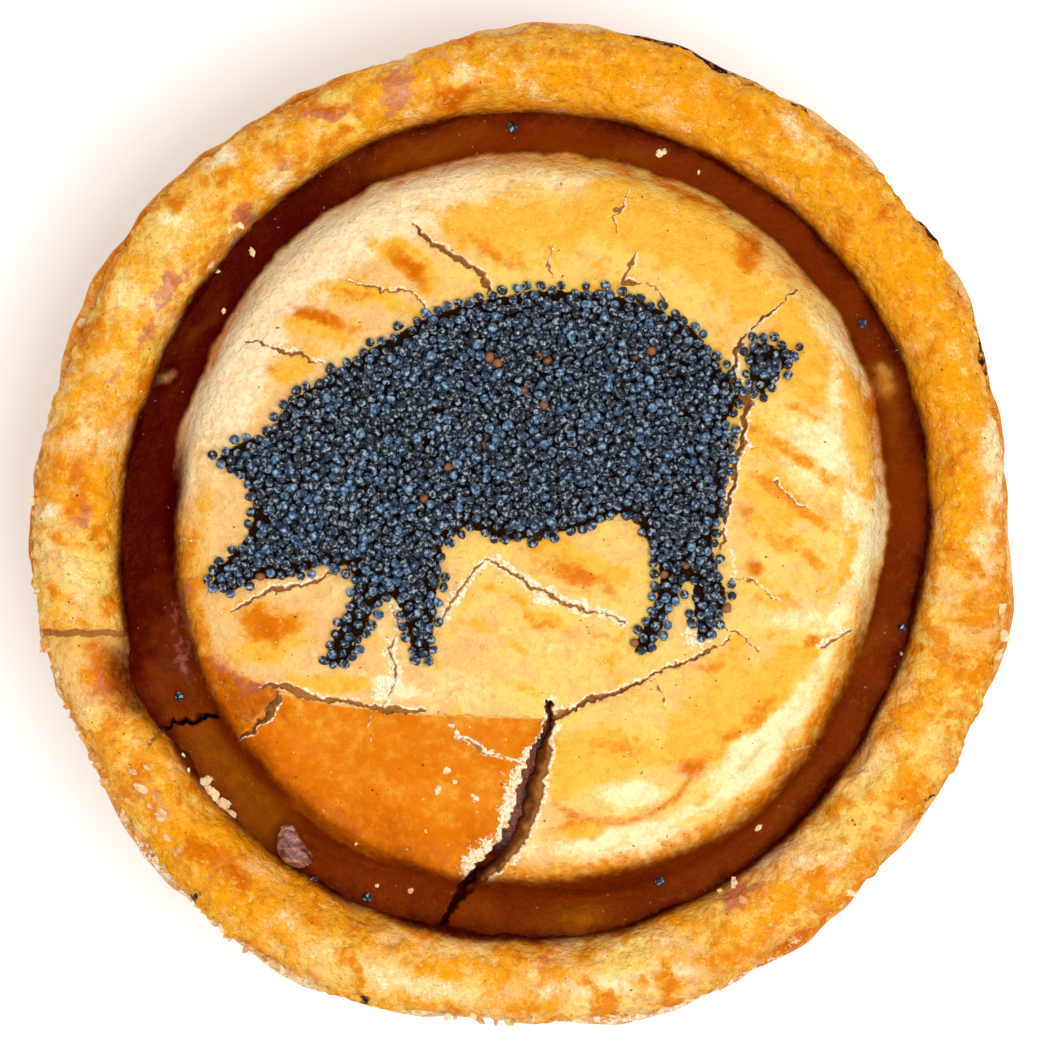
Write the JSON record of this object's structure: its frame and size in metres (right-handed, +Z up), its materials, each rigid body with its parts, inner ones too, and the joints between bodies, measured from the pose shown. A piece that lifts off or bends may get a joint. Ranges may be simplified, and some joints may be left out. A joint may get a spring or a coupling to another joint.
{
  "type": "bacon pie",
  "caption": "Round savoury bacon pie: sloping pastry case, raised rim, grooved lid with a domed, cracked middle and a pig shape of poppy seeds.",
  "frame": {"origin": "middle of the flat base, on the surface the pie stands on", "axes": "+Z up through the lid, +X from the middle towards the pig's tail, +Y towards the pig's back"},
  "size_m": [0.105, 0.1069, 0.0422],
  "materials": {
    "crust": "baked shortcrust, matt and slightly flaky",
    "lid": "egg-washed baked pastry, satin, glossy in the groove, with dark poppy seeds",
    "filling": "moist cooked meat filling",
    "bacon": "moist cooked bacon"
  },
  "bodies": {
    "root": {"pastry_case": "crust", "pastry_lid": "lid", "filling": "filling", "bacon_piece": "bacon"}
  },
  "joints": []
}
